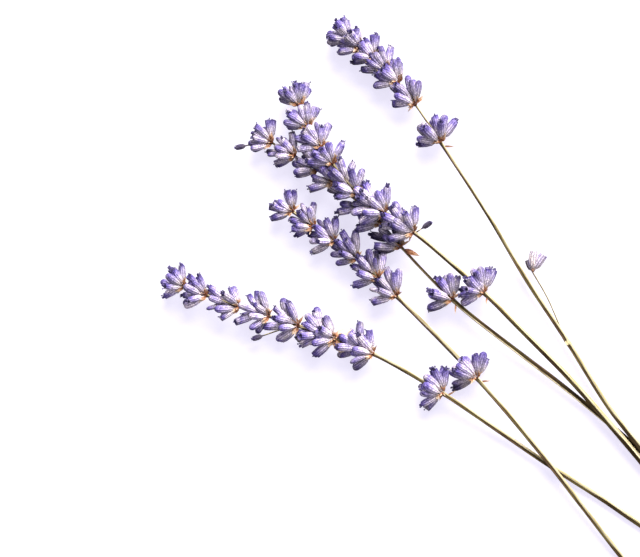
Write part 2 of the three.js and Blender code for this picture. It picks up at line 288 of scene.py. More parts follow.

# %% [markdown]
# ## Dry stem
# A lavender stem is square, with a ridge on each corner. Dried, it is part bleached straw and
# part dark olive-brown, in long streaks. Here the straw is painted on one side as painted light,
# and the brown on the other as painted shade. That strengthens the light and shade on a thin stem,
# but it is paint: it turns with the stem, and bright light on the straw side washes it out. The
# grooves are painted darker, as painted shade. The streaks are a noise that is stretched along
# the stem, on a UV map in millimetres, and come out about 10 mm long and 0.6 mm wide. Patches of
# olive and of brown are about 33 mm long. The paint attribute says how strongly a side is painted
# lit and how deep in a groove a point lies.


# %% Straw
STREAK_SCALE = 1.6
STREAK_STRETCH = (0.06, 1.1, 1.0)
PATCH_SCALE = 0.03
# How much darker the grooves are painted, as painted shade.
GROOVE_PAINTED_SHADE = 0.7


def stem_material():
    material, tree, shader = new_material("dry lavender stem", Roughness=0.75, IOR=1.4,
                                          Specular_IOR_Level=0.15)
    paint = add_node(tree, "Attribute", {"attribute_name": "paint"})
    parts = add_node(tree, "SeparateColor", inputs={"Color": paint.outputs["Color"]})
    along = add_node(tree, "UVMap", {"uv_map": "stem"})
    stretched = add_node(tree, "Mapping", inputs={
        "Vector": along.outputs["UV"], "Scale": STREAK_STRETCH})
    streaks = add_node(tree, "TexNoise", inputs={
        "Vector": stretched.outputs["Vector"], "Scale": STREAK_SCALE, "Detail": 4.0,
        "Roughness": 0.6})
    patches = add_node(tree, "TexNoise", inputs={
        "Vector": along.outputs["UV"], "Scale": PATCH_SCALE, "Detail": 2.0})
    lit_straw, olive, brown = (
        add_node(tree, "ValToRGB", inputs={"Fac": streaks.outputs["Fac"]}, stops=stops)
        for stops in (((0.3, "#b09d6c"), (0.45, "#dacb9a"), (0.6, "#f2e6c2")),
                      ((0.3, "#191207"), (0.5, "#42371d"), (0.7, "#7b7042")),
                      ((0.3, "#1c1109"), (0.5, "#483626"), (0.7, "#8f7252"))))
    browned = add_node(tree, "MapRange", inputs={
        "Value": patches.outputs["Fac"], "From Min": 0.44, "From Max": 0.6})
    shady = add_node(tree, "Mix", {"data_type": "RGBA"}, {
        "Factor": browned.outputs[0], 6: olive.outputs["Color"], 7: brown.outputs["Color"]})
    # Straw colour on the painted lit side, olive and brown on the painted shade side.
    side = add_node(tree, "Math", {"operation": "MULTIPLY_ADD"}, {
        0: streaks.outputs["Fac"], 1: 0.8, 2: parts.outputs["Green"]})
    sunny = add_node(tree, "MapRange", inputs={
        "Value": side.outputs[0], "From Min": 0.98, "From Max": 1.14})
    surface = add_node(tree, "Mix", {"data_type": "RGBA"}, {
        "Factor": sunny.outputs[0], 6: shady.outputs[2], 7: lit_straw.outputs["Color"]})
    # Deep in the grooves the colour is painted darker, as painted shade.
    deep = add_node(tree, "Math", {"operation": "MULTIPLY"}, {
        0: parts.outputs["Blue"], 1: GROOVE_PAINTED_SHADE})
    groove = add_node(tree, "Mix", {"data_type": "RGBA"}, {
        "Factor": deep.outputs[0], 6: surface.outputs[2], 7: linear("#2b2210")})
    tree.links.new(groove.outputs[2], shader.inputs["Base Color"])
    bump = add_node(tree, "Bump", inputs={
        "Height": streaks.outputs["Fac"], "Strength": 0.5, "Distance": BUMP_DEPTH})
    tree.links.new(bump.outputs["Normal"], shader.inputs["Normal"])
    return material


straw = stem_material()
print("made", straw.name)

# %% [markdown]
# ## Bodies raised by extrusion
# A calyx, a bud and a petal scrap are all round bodies that swell and narrow. By hand you add a
# disc, extrude it upwards and scale it, again and again. The function does the same from a
# list of heights and radii in millimetres. The last rings may go back down inside the mouth.


# %% Raise a round body
def raised_body(name, sides, rings):
    start_clean()
    bpy.ops.mesh.primitive_circle_add(vertices=sides, radius=rings[0][1] * MM, fill_type="NGON")
    body = bpy.context.object
    body.name = name
    edit(body)
    bpy.ops.mesh.select_all(action="SELECT")
    for (low, old), (high, new) in zip(rings, rings[1:]):
        bpy.ops.mesh.extrude_region_move(
            TRANSFORM_OT_translate={"value": (0, 0, (high - low) * MM)})
        bpy.ops.transform.resize(value=(new / old, new / old, 1),
                                 center_override=(0, 0, high * MM))
    bpy.ops.mesh.select_all(action="SELECT")
    bpy.ops.mesh.normals_make_consistent(inside=False)
    start_clean()
    return body


def angle_step(place, sides):
    return round(math.atan2(place.y, place.x) / (2 * math.pi / sides)) % sides


def outward_radius(place):
    return math.hypot(place.x, place.y)


# %% [markdown]
# ## The kinds of flower
# All flowers are one of a few kinds: a closed calyx with a rounded end, an open one with small
# teeth and a dark mouth, one with the scrap of its petals in the mouth, and a slim one. Each is
# modelled once, base at the origin and mouth upwards. Every second line of points is pushed
# outwards for the coarse ribs. A small bend makes the tubes look grown.

# %% Model each kind of flower once
FLOWER_SIDES = 10
RIB_SWELL = 1.06
TEETH_HEIGHT = 0.4
MOUTH_DEPTH = 5.6


def ribbed(body, share):
    edit(body)
    pick_points(body, lambda p: angle_step(p, FLOWER_SIDES) % 2 == 0
                and outward_radius(p) > 0.4 * MM)
    bpy.ops.transform.resize(value=(share, share, 1), center_override=(0, 0, 0))
    start_clean()


def toothed(body, height, radius):
    """Lifts every second point of the rim, which makes the teeth of the mouth."""
    edit(body)
    pick_points(body, lambda p: angle_step(p, FLOWER_SIDES) % 2 == 0
                and abs(p.z - height * MM) < 0.01 * MM and outward_radius(p) > radius * MM)
    bpy.ops.transform.translate(value=(0, 0, TEETH_HEIGHT * MM))
    start_clean()


def painted(body, length, material):
    """Gives the body its material, the paint attribute and the UV map around it."""
    mesh = body.data
    mesh.materials.append(material)
    paint = mesh.attributes.new("paint", "FLOAT_COLOR", "POINT")
    for vert, value in zip(mesh.vertices, paint.data):
        value.color = (vert.co.z / (length * MM), 0.5, 0.0, 1.0)
    layer = mesh.uv_layers.new(name="flower")
    for face in mesh.polygons:
        middle = math.atan2(face.center.y, face.center.x)
        for corner in face.loop_indices:
            place = mesh.vertices[mesh.loops[corner].vertex_index].co
            turn = math.atan2(place.y, place.x)
            turn += 2 * math.pi * round((middle - turn) / (2 * math.pi))
            layer.data[corner].uv = (turn / (2 * math.pi), place.z / (length * MM))
    return body


def bent(body, degrees):
    apply_modifier(body, "SIMPLE_DEFORM", deform_method="BEND", deform_axis="X",
                   angle=math.radians(degrees))
    return body


def joined(pieces, name):
    start_clean()
    for piece in pieces:
        piece.select_set(True)
    bpy.context.view_layer.objects.active = pieces[0]
    bpy.ops.object.join()
    pieces[0].name = name
    return pieces[0]


def shaded_smooth(body, degrees=60):
    start_clean()
    body.select_set(True)
    bpy.context.view_layer.objects.active = body
    bpy.ops.object.shade_smooth_by_angle(angle=math.radians(degrees))
    return body


CALYX_RINGS = {
    "closed": [(0, 0.2), (1.3, 0.34), (2.3, 0.94), (3.6, 1.15), (5.4, 1.2), (6.6, 1.06),
               (7.2, 0.66), (7.4, 0.25)],
    "open": [(0, 0.22), (1.3, 0.36), (2.3, 0.96), (3.8, 1.16), (5.6, 1.14), (6.9, 1.0),
             (6.8, 0.74), (5.7, 0.4)],
    "petalled": [(0, 0.24), (1.2, 0.38), (2.2, 0.98), (3.8, 1.2), (5.5, 1.15), (6.6, 0.98),
                 (6.5, 0.7), (5.7, 0.4)],
    "slim": [(0, 0.2), (1.5, 0.28), (2.7, 0.62), (4.5, 0.78), (6.3, 0.7), (7.0, 0.42), (7.2, 0.2)],
}
BENDS = {"closed": 16, "open": 12, "petalled": 9, "slim": 24}
SCRAP_SIDES = 6
SCRAP_RINGS = [(5.6, 0.4), (6.7, 0.55), (7.4, 0.85), (7.7, 0.7), (7.3, 0.3)]


def petal_scraps(seed, length):
    base = SCRAP_RINGS[0][0]
    scrap = raised_body("scrap", SCRAP_SIDES, [(z - base, r) for z, r in SCRAP_RINGS])
    edit(scrap)
    pick_points(scrap, lambda p: angle_step(p, SCRAP_SIDES) % 2 == 0 and p.z > 1.5 * MM)
    bpy.ops.transform.resize(value=(0.5, 0.5, 1), center_override=(0, 0, 0))
    bpy.ops.mesh.select_all(action="SELECT")
    bpy.ops.transform.vertex_random(offset=0.2 * MM, seed=seed)
    bpy.ops.transform.translate(value=(0, 0, base * MM))
    start_clean()
    return painted(scrap, length, petal_scrap)


def dark_inside(body, below):
    """The faces inside the mouth take the petals' dark colour."""
    body.data.materials.append(petal_scrap)
    for face in body.data.polygons:
        if face.center.z > below * MM and outward_radius(face.center) < 0.8 * MM:
            face.material_index = 1


def model_flowers():
    kinds = {}
    for kind, rings in CALYX_RINGS.items():
        length = max(height for height, _ in rings)
        body = raised_body(kind, FLOWER_SIDES, rings)
        ribbed(body, RIB_SWELL)
        painted(body, length, calyx_wool)
        if kind in ("open", "petalled"):
            toothed(body, rings[-3][0], 0.5)
            dark_inside(body, MOUTH_DEPTH)
        if kind == "petalled":
            body = joined([body, petal_scraps(3, length)], kind)
        kinds[kind] = shaded_smooth(bent(body, BENDS[kind]))
    return kinds


flower_kinds = model_flowers()
for kind, body in flower_kinds.items():
    print(kind, "flower:", len(body.data.polygons), "faces,",
          round(body.dimensions.z / MM, 1), "mm long")

# %% [markdown]
# ## Bracts, hairs and the heart of a whorl
# A bract is a grid that is narrowed row by row into a pointed oval, cupped, curled back at its
# tip and thickened like paper. A stamen is a hair-thin tube with a dark bead. The heart of a
# whorl, where its flowers and bracts meet, is a knobbly cushion around the stem. It is painted
# as if it were longer than it is, which keeps it at the red-brown end of the bract's colours.

# %% Model the small parts
BRACT_LENGTH = 4.0
BRACT_WIDTH = 2.6
BRACT_ROWS = (0.45, 0.88, 1.0, 0.9, 0.66, 0.34, 0.05)
BRACT_THICKNESS = 0.12
HAIR_LENGTH = 2.05
HEART_PAINT_LENGTH = 6.0


def model_bract():
    start_clean()
    bpy.ops.mesh.primitive_grid_add(x_subdivisions=4, y_subdivisions=6, size=1 * MM)
    bract = bpy.context.object
    edit(bract)
    bpy.ops.mesh.select_all(action="SELECT")
    bpy.ops.transform.resize(value=(BRACT_WIDTH, BRACT_LENGTH, 1))
    bpy.ops.transform.translate(value=(0, BRACT_LENGTH / 2 * MM, 0))
    for row, width in enumerate(BRACT_ROWS):
        height = BRACT_LENGTH * MM * row / 6
        pick_points(bract, lambda p: abs(p.y - height) < 0.1 * MM)
        bpy.ops.transform.resize(value=(width, 1, 1), center_override=(0, height, 0))
        bpy.ops.transform.translate(value=(0, 0, 0.03 * row ** 2 * MM))
    pick_points(bract, lambda p: abs(p.x) < 0.1 * MM)
    bpy.ops.transform.translate(value=(0, 0, -0.4 * MM))
    bpy.ops.mesh.select_all(action="SELECT")
    bpy.ops.transform.rotate(value=-math.pi / 2, orient_axis="X", center_override=(0, 0, 0))
    start_clean()
    apply_modifier(bract, "SOLIDIFY", thickness=BRACT_THICKNESS * MM, offset=0)
    bract.name = "bract"
    return shaded_smooth(painted(bract, BRACT_LENGTH, bract_paper), 80)


def model_hair():
    rings = [(0, 0.11), (0.9, 0.1), (1.5, 0.1), (1.6, 0.24), (1.95, 0.24),
             (HAIR_LENGTH, 0.05)]
    hair = bent(raised_body("hair", 3, rings), 20)
    return shaded_smooth(painted(hair, HAIR_LENGTH, petal_scrap))


def model_heart():
    rings = [(0, 0.5), (0.2, 1.0), (0.8, 1.4), (1.6, 1.3), (2.2, 0.9), (2.5, 0.5)]
    heart = raised_body("heart", 10, rings)
    edit(heart)
    bpy.ops.mesh.select_all(action="SELECT")
    bpy.ops.transform.vertex_random(offset=0.3 * MM, seed=5)
    bpy.ops.transform.translate(value=(0, 0, -1.2 * MM))
    start_clean()
    return shaded_smooth(painted(heart, HEART_PAINT_LENGTH, bract_paper))


small_parts = {"bract": model_bract(), "hair": model_hair(), "heart": model_heart()}
for name, body in small_parts.items():
    print(name, len(body.data.polygons), "faces", [round(d / MM, 1) for d in body.dimensions])

# %% [markdown]
# ## Reading the stems from the frame
# Each plain stem is a tube made of rings. The middle of a ring is a point on the stem's
# line, and its size gives the thickness there. Along the line, rings are several millimetres
# apart, so sorting the points by X and looking for gaps tells the rings apart.

# %% Find each stem's line
RING_GAP = 2.5 * MM
LINE_STEP = 1.0 * MM
STEM_NAMES = [f"stem_{letter}" for letter in "abcde"]


def ring_middles(node):
    places = np.array([v.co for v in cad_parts[node].data.vertices])
    places = places[np.argsort(-places[:, 0])]
    breaks = np.where(np.diff(-places[:, 0]) > RING_GAP)[0] + 1
    rings = np.split(places, breaks)
    middles = np.array([(ring.min(0) + ring.max(0)) / 2 for ring in rings])
    radii = [np.linalg.norm(ring - middle, axis=1).max() for ring, middle in zip(rings, middles)]
    return middles, np.array(radii)


def smooth_line(points, step):
    """A Catmull-Rom line through the points, with a point every step, and how far each is."""
    padded = np.vstack([2 * points[0] - points[1], points, 2 * points[-1] - points[-2]])
    line = []
    for i in range(1, len(padded) - 2):
        a, b, c, d = padded[i - 1:i + 3]
        count = max(2, int(np.linalg.norm(c - b) / step))
        for t in np.linspace(0, 1, count, endpoint=False):
            line.append(0.5 * (2 * b + (c - a) * t + (2 * a - 5 * b + 4 * c - d) * t * t
                               + (3 * b - a - 3 * c + d) * t ** 3))
    line.append(points[-1])
    line = np.array(line)
    lengths = np.concatenate([[0], np.cumsum(np.linalg.norm(np.diff(line, axis=0), axis=1))])
    return line, lengths


stems = {}
for name in STEM_NAMES:
    middles, radii = ring_middles(name)
    line, lengths = smooth_line(middles, LINE_STEP)
    ring_lengths = [lengths[np.argmin(np.linalg.norm(line - m, axis=1))] for m in middles]
    stems[name] = {"line": line, "lengths": lengths,
                   "radii": np.interp(lengths, ring_lengths, radii)}
    print(name, len(middles), "rings,", round(lengths[-1] / MM), "mm long,",
          round(radii[0] * 2 / MM, 1), "to", round(radii[-1] * 2 / MM, 1), "mm thick")

# %% [markdown]
# A whorl's plain solid starts at a small collar around the stem. Its point that lies furthest
# towards the cut end, close to the stem, therefore tells where the whorl sits.

# %% Find each whorl
COLLAR_HALF = 0.9 * MM
COLLAR_REACH = 2.4 * MM


def nearest(stem, place):
    gaps = np.linalg.norm(stem["line"] - place, axis=1)
    best = int(np.argmin(gaps))
    return stem["lengths"][best], gaps[best]


def whorl_station(node, stem):
    found = [nearest(stem, np.array(v.co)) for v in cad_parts[node].data.vertices]
    return max(length for length, gap in found if gap < COLLAR_REACH) - COLLAR_HALF


def frame_at(stem, station):
    """Where a station is: its Z axis points to the tip, and its X axis as far up as it can."""
    places = [np.array([np.interp(s, stem["lengths"], stem["line"][:, axis]) for axis in range(3)])
              for s in (station - 2 * MM, station, station + 2 * MM)]
    to_tip = Vector(places[0] - places[2]).normalized()
    side = to_tip.cross(Vector((0, 0, 1))).normalized()
    up = side.cross(to_tip)
    basis = Matrix((up, side, to_tip)).transposed().to_4x4()
    return Matrix.Translation(Vector(places[1])) @ basis


whorls = {}
for node in sorted(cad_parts):
    if "whorl" in node:
        stem = stems[node[:6]]
        station = max(whorl_station(node, stem), 0.5 * MM)
        whorls[node] = {"stem": node[:6], "station": station, "frame": frame_at(stem, station)}
print(len(whorls), "whorls; stem_a's first at",
      round(whorls["stem_a_whorl_1"]["station"] / MM, 1), "mm")

# %% [markdown]
# ## Stems
# Drawing a stem by hand means a curve along its line, and a small square outline with raised
# corners that is swept along it. The curve's own radius makes it taper and swell a little at
# each whorl, and its tilt makes the ridges turn slowly. Lit straw from is the direction of the
# stems' painted lit straw side, and painted light from is that of the flowers' painted lit side;
# the other sides are painted as shade. Both are fixed, and stem_c has its straw side the other
# way round.

# %% Sweep the stems
CORNER = 1.12
GROOVE = 0.72
TWIST_PER_METRE = 4.0
NODE_SWELL = 1.2
SLIM_TIP = ((0, 0.62), (60 * MM, 0.78), (120 * MM, 1.0))
# The fixed direction from which the stems' straw side is painted lit.
LIT_STRAW_FROM = Vector((0.05, -0.95, 0.3)).normalized()
# The fixed direction from which the flowers' lit side is painted; their other side is painted as
# shade.
PAINTED_LIGHT_FROM = Vector((0.02, -0.62, 0.78)).normalized()
RING_WIDTH = 0.8 * MM
RING_BELOW = 3.2 * MM
RING_SUNNY = 1.1
NOWHERE = -1.0
ABOVE_LOWER_WHORL = {"stem_a": 0.68, "stem_b": 1.15, "stem_c": 0.72, "stem_d": 1.2,
                     "stem_e": 1.1}
LIT_STRAW_SIDE = {"stem_a": 1, "stem_b": 1, "stem_c": -1, "stem_d": 1, "stem_e": 1}


def stem_outline():
    """A closed outline of sixteen points: four raised corners with a groove on each side."""
    outline = bpy.data.curves.new("outline", "CURVE")
    spline = outline.splines.new("POLY")
    radii = (CORNER, 0.94, GROOVE, 0.94)
    spline.points.add(15)
    for i, point in enumerate(spline.points):
        angle = 2 * math.pi * i / 16
        point.co = (radii[i % 4] * math.cos(angle), radii[i % 4] * math.sin(angle), 0, 1)
    spline.use_cyclic_u = True
    outline.dimensions = "2D"
    outline_object = bpy.data.objects.new("outline", outline)
    bpy.context.scene.collection.objects.link(outline_object)
    return outline_object


def swept(name, line, radii, twist, outline):
    curve = bpy.data.curves.new(name, "CURVE")
    curve.dimensions = "3D"
    curve.bevel_mode = "OBJECT"
    curve.bevel_object = outline
    curve.use_fill_caps = True
    spline = curve.splines.new("POLY")
    spline.points.add(len(line) - 1)
    for i, point in enumerate(spline.points):
        point.co = (*line[i], 1)
        point.radius = radii[i]
        point.tilt = twist[i]
    piece = bpy.data.objects.new(name, curve)
    bpy.context.scene.collection.objects.link(piece)
    start_clean()
    piece.select_set(True)
    bpy.context.view_layer.objects.active = piece
    bpy.ops.object.convert(target="MESH")
    edit(piece)
    bpy.ops.mesh.select_all(action="SELECT")
    bpy.ops.mesh.remove_doubles(threshold=0.01 * MM)
    bpy.ops.mesh.normals_make_consistent(inside=False)
    start_clean()
    return piece


def painted_stem(piece, stem_line, lengths, radii, sunny_side=1, ring=NOWHERE):
    """Writes the painted lit side and the groove depth, which is painted as shade, to the paint,
    and the UV map in mm.

    A ring is the place of a pale joint in the stem.
    """
    mesh = piece.data
    mesh.materials.append(straw)
    paint = mesh.attributes.new("paint", "FLOAT_COLOR", "POINT")
    along, around = [], []
    for vert, value in zip(mesh.vertices, paint.data):
        gaps = np.linalg.norm(stem_line - np.array(vert.co), axis=1)
        best = int(np.argmin(gaps))
        depth = (CORNER - gaps[best] / radii[best]) / (CORNER - GROOVE)
        out = np.array(vert.co) - stem_line[best]
        # The straw side is painted lit, by a fixed direction, and the other side painted in shade.
        sunny = 0.5 + 0.5 * sunny_side * float(np.dot(out, LIT_STRAW_FROM)) / radii[best]
        if abs(lengths[best] - ring) < RING_WIDTH / 2:
            sunny, depth = RING_SUNNY, 0
        value.color = (0.5, min(max(sunny, 0), 1.5), min(max(depth, 0), 1), 1)
        along.append(lengths[best] / MM)
        around.append(math.atan2(out[2], out[1]) * radii[best] / MM)
    layer = mesh.uv_layers.get("stem") or mesh.uv_layers.new(name="stem")
    for corner, loop in enumerate(mesh.loops):
        layer.data[corner].uv = (along[loop.vertex_index], around[loop.vertex_index])
    return piece


def swelling(lengths, station):
    return 1 + (NODE_SWELL - 1) * np.exp(-((lengths - station) / (1.2 * MM)) ** 2)


def branch_station(name):
    """The joint a little below a side stalk's foot, or a place that no stem has."""
    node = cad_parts.get(name + "_side_stalk")
    if node is None:
        return NOWHERE
    foot = min((np.array(v.co) for v in node.data.vertices),
               key=lambda p: nearest(stems[name], p)[1])
    return float(nearest(stems[name], foot)[0]) + RING_BELOW


def make_stem(name, outline):
    stem = stems[name]
    ring = branch_station(name)
    lengths = stem["lengths"]
    rng = random.Random(name)
    thickness = np.array(stem["radii"])
    for whorl in whorls.values():
        if whorl["stem"] == name:
            thickness *= swelling(lengths, whorl["station"])
    thickness *= swelling(lengths, ring)
    thickness *= np.interp(lengths, *zip(*SLIM_TIP))
    lower = whorls[name + "_lower_whorl"]["station"]
    thickness *= np.interp(lengths, (lower - 3 * MM, lower), (ABOVE_LOWER_WHORL[name], 1.0))
    uneven = [rng.uniform(-0.04, 0.04) for _ in lengths]
    thickness *= 1 + np.convolve(uneven, np.ones(5) / 5, "same")
    thickness = np.minimum(thickness, stem["line"][:, 2] / CORNER)
    twist = rng.uniform(0, 1) + TWIST_PER_METRE * lengths
    piece = swept(name + "_dry", stem["line"], thickness, twist, outline)
    painted_stem(piece, stem["line"], lengths, thickness, LIT_STRAW_SIDE[name], ring)
    return shaded_smooth(piece, 50)


outline = stem_outline()
finished = {}
for name in STEM_NAMES:
    finished[name] = make_stem(name, outline)
    print(name, len(finished[name].data.polygons), "faces")

# %% [markdown]
# ## Whorls
# A whorl's flowers start at one place on the stem and fan out towards the tip, in layers: the
# upper ones lie along the stem and hide it, the middle ones spread to both sides, and the lower
# ones rest on the surface. Chance with a fixed seed makes every whorl different and every run
# alike.

# %% Place copies
FLOOR_CLEARANCE = 1.4 * MM
SHADY_DARKENING = 0.25
NEUTRAL_FACING = 0.25
SHADE_SHARPNESS = 2


def copied(body, place, light, wither, tone=1.0, painted_shading=0.0):
    """A copy with a mesh of its own, put in place, with paint of its own.

    Light and wither are the same all over. Tone stretches the change of colour along the piece.
    Painted shading paints light on the side that faces a fixed direction and shade on the other:
    it lightens and darkens the flower and moves its shaded side towards the darker colours.
    """
    mesh = body.data.copy()
    mesh.transform(place)
    colours = np.empty(len(mesh.vertices) * 4, np.float32)
    normals = np.empty(len(mesh.vertices) * 3, np.float32)
    paint = mesh.attributes["paint"].data
    paint.foreach_get("color", colours)
    mesh.vertices.foreach_get("normal", normals)
    # Painted light and shade: how far each point faces the fixed direction the light is painted
    # from.
    facing = normals.reshape(-1, 3) @ np.array(PAINTED_LIGHT_FROM, np.float32)
    colours[0::4] = (colours[0::4] + SHADY_DARKENING * painted_shading * (1 - facing)) * tone
    shade = np.tanh(SHADE_SHARPNESS * (facing - NEUTRAL_FACING))
    colours[1::4] = np.clip(light + painted_shading * shade, 0, 1)
    colours[2::4] = wither
    paint.foreach_set("color", colours)
    made = bpy.data.objects.new(body.name + "_copy", mesh)
    bpy.context.scene.collection.objects.link(made)
    return made


def leaning(base, turn, tilt, start, size, roll=0.0):
    """A place at the whorl's frame: turned about the stem from straight up, leaning outwards."""
    return (base @ Matrix.Rotation(math.radians(turn), 4, "Z")
            @ Matrix.Translation((start, 0, 0))
            @ Matrix.Rotation(math.radians(tilt), 4, "Y")
            @ Matrix.Rotation(math.radians(roll), 4, "Z")
            @ Matrix.Scale(size, 4))


def fanned(spread, rise):
    """The turn and lean of a direction that is spread sideways from the tip's and then raised."""
    spread, rise = math.radians(spread), math.radians(rise)
    up = math.sin(rise)
    sideways = math.cos(rise) * math.sin(spread)
    ahead = math.cos(rise) * math.cos(spread)
    return math.degrees(math.atan2(sideways, up)), math.degrees(math.acos(ahead))


def settled(base, spread, rise, start, reach):
    """Raises a flower until its mouth stays above the surface."""
    while rise < 60:
        mouth = leaning(base, *fanned(spread, rise), start, 1.0) @ Vector((0, 0, reach))
        if mouth.z > FLOOR_CLEARANCE:
            break
        rise += 3
    return fanned(spread, rise)


# %% [markdown]
# A recipe says how many flowers each layer has, how large they are, and how light and how
# withered. A layer gives the range of the sideways spread and of the rise, in degrees. The
# youngest whorls at the tips are smaller.

# %% Make the whorls
# A layer's light is added to each flower's: the low and middle layers are painted darker, as
# painted shade under the flowers above them.
LAYERS = {
    "low": {"spread": 60, "rise": (-34, -14), "light": -0.2},
    "middle": {"spread": 54, "rise": (-6, 14), "light": -0.08},
    "top": {"spread": 26, "rise": (16, 32), "light": 0.0},
}
KINDS = ("closed", "open", "petalled", "slim")
KIND_WEIGHTS = (34, 24, 30, 12)
MOUTH_REACH = 7.6 * MM
HAIRS_PER_MOUTH = {"petalled": 2, "open": 1}
HAIR_START = 5.9 * MM
HAIR_SPLAY = 0.35
SLIM_WITHER = 0.2
MOST_WITHER = 0.9
# How strongly the flowers' lit side and shaded side are painted.
PAINTED_SHADING = 0.28

RICH = {"low": 4, "middle": 6, "top": 4}
FULL = {"low": 5, "middle": 7, "top": 5}
WIDE = {"low": 6, "middle": 8, "top": 6, "widen": 1.05}
SPARSE = {"low": 3, "middle": 5, "top": 3, "widen": 0.85}
RECIPES = {
    "stem_c_whorl_7": {"light": 0.3, "wither": 0.25},
    "stem_b_whorl_1": {"light": 0.52, "wither": 0.12, "middle": 6, "top": 4, "widen": 0.8},
    "stem_c_whorl_1": {"light": 0.52, "wither": 0.12, "widen": 0.85},
    "stem_e_whorl_1": SPARSE,
    "stem_e_whorl_2": SPARSE,
    "stem_e_whorl_3": SPARSE,
    "stem_e_whorl_6": WIDE,
    "stem_e_whorl_7": {**WIDE, "size": 1.06},
    "stem_b_whorl_6": FULL,
    "stem_b_whorl_7": FULL,
}


def recipe_for(node):
    lower = "lower" in node
    order = 8 if lower else int(node[-1])
    recipe = {"low": 4, "middle": 5, "top": 3, "size": min(1.1, 0.93 + 0.025 * order),
              "wither": 0.07, "light": 0.57, "widen": 1.0}
    if lower:
        recipe.update(RICH, widen=1.12)
    if node.startswith("stem_a_whorl"):
        recipe.update(widen=0.85)
    recipe.update(RECIPES.get(node, {}))
    return recipe


# %% [markdown]
# Where the next whorl is further away than a flower is long, every second flower starts a little
# ahead of the hub, further along the stem, so that a spike stays closed.

# %% Close the gaps
FLOWER_REACH = 7.2 * MM
MOST_AHEAD = 4.5 * MM


def room_ahead(node):
    own = whorls[node]
    gaps = [own["station"] - other["station"] for other in whorls.values()
            if other["stem"] == own["stem"] and other["station"] < own["station"]]
    gap = min(gaps, default=0)
    return 0 if "lower" in node else min(max(gap - FLOWER_REACH, 0), MOST_AHEAD)


def make_whorl(node):
    whorl = whorls[node]
    recipe = recipe_for(node)
    ahead = room_ahead(node)
    rng = random.Random(node)
    stem = stems[whorl["stem"]]
    core = float(np.interp(whorl["station"], stem["lengths"], stem["radii"])) * 0.8
    parts = []
    for name, layer in LAYERS.items():
        count = recipe[name]
        for i in range(count):
            spread = layer["spread"] * recipe["widen"] * (2 * i / (count - 1) - 1)
            spread += rng.uniform(-9, 9)
            rise = rng.uniform(*layer["rise"])
            size = recipe["size"] * rng.uniform(0.86, 1.1)
            start = core * rng.uniform(0.8, 1.3)
            base = whorl["frame"] @ Matrix.Translation((0, 0, ahead * (i % 2)))
            turn, tilt = settled(base, spread, rise, start, MOUTH_REACH * size)
            kind = rng.choices(KINDS, KIND_WEIGHTS)[0]
            place = leaning(base, turn, tilt, start, size, rng.uniform(0, 360))
            light = min(1, max(0, recipe["light"] + layer["light"] + rng.uniform(-0.22, 0.22)))
            wither = recipe["wither"] * rng.uniform(0, 2) + (SLIM_WITHER if kind == "slim" else 0)
            wither = min(wither, MOST_WITHER)
            parts.append(copied(flower_kinds[kind], place, light, wither, painted_shading=PAINTED_SHADING))
            for _ in range(HAIRS_PER_MOUTH.get(kind, 0)):
                hair = (place @ Matrix.Translation((0, 0, HAIR_START))
                        @ Matrix.Rotation(rng.uniform(0, 2 * math.pi), 4, "Z")
                        @ Matrix.Rotation(rng.uniform(0, HAIR_SPLAY), 4, "Y"))
                parts.append(copied(small_parts["hair"], hair, 0.3, 0))
    parts += hub_bracts(whorl["frame"], core, rng)
    return joined(parts, node + "_flowers")


# %% [markdown]
# At the hub, four broad bracts hold the flowers like a cup, and narrow bracteoles stick out
# between them.

# %% Bracts at the hub
BROAD_BRACTS = ((-95, 52), (95, 52), (-55, 66), (60, 62))
NARROW_BRACTS = 12


def hub_bracts(base, core, rng):
    parts = []
    for turn, tilt in BROAD_BRACTS:
        tilt += rng.uniform(-10, 10)
        size = rng.uniform(0.6, 0.85)
        place = leaning(base, turn + rng.uniform(-12, 12), tilt, core * 0.6, size)
        parts.append(copied(small_parts["bract"], place, rng.uniform(0.2, 0.75), 0))
    for _ in range(NARROW_BRACTS):
        slim = Matrix.Diagonal((0.35, 0.35, 1, 1))
        place = leaning(base, rng.uniform(-110, 110), rng.uniform(35, 110), core * 0.6,
                        rng.uniform(0.5, 0.95)) @ slim
        parts.append(copied(small_parts["bract"], place, rng.uniform(0.15, 1), 0))
    heart = base @ Matrix.Scale(0.5 + core / (4 * MM), 4)
    parts.append(copied(small_parts["heart"], heart, 0.6, 0))
    return parts


for node in whorls:
    finished[node] = make_whorl(node)
print(len(whorls), "whorls,", sum(len(finished[n].data.polygons) for n in whorls), "faces")

# %% [markdown]
# ## Strays
# A few single pieces stand clear of the whorls: reflexed bracts, buds on thin stalks and one
# side branch with pale flowers. Each plain solid gives two points, its foot near the stem and
# its far end, and the fine piece runs from one to the other.


# %% Place the strays
def foot_and_end(node):
    """The place on the stem where the plain solid starts, and its far end."""
    stem = stems[node[:6]]
    places = [np.array(v.co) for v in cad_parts[node].data.vertices]
    foot = min(places, key=lambda p: nearest(stem, p)[1])
    end = max(places, key=lambda p: np.linalg.norm(p - foot))
    on_stem = stem["line"][int(np.argmin(np.linalg.norm(stem["line"] - foot, axis=1)))]
    return Vector(on_stem + 0.25 * (foot - on_stem)), Vector(end)


def from_foot_to_end(foot, end, length, width=1.0):
    """Stands a piece that is modelled upwards, of that length, between two points."""
    along = end - foot
    turn = along.to_track_quat("Z", "Y").to_matrix().to_4x4()
    size = along.length / length
    return Matrix.Translation(foot) @ turn @ Matrix.Diagonal((size * width, size * width, size, 1))


def make_stalk(name, points, radius):
    line, lengths = smooth_line(np.array(points), 0.8 * MM)
    radii = np.full(len(line), radius)
    piece = swept(name, line, radii, np.zeros(len(line)), outline)
    return painted_stem(piece, line, lengths, radii)


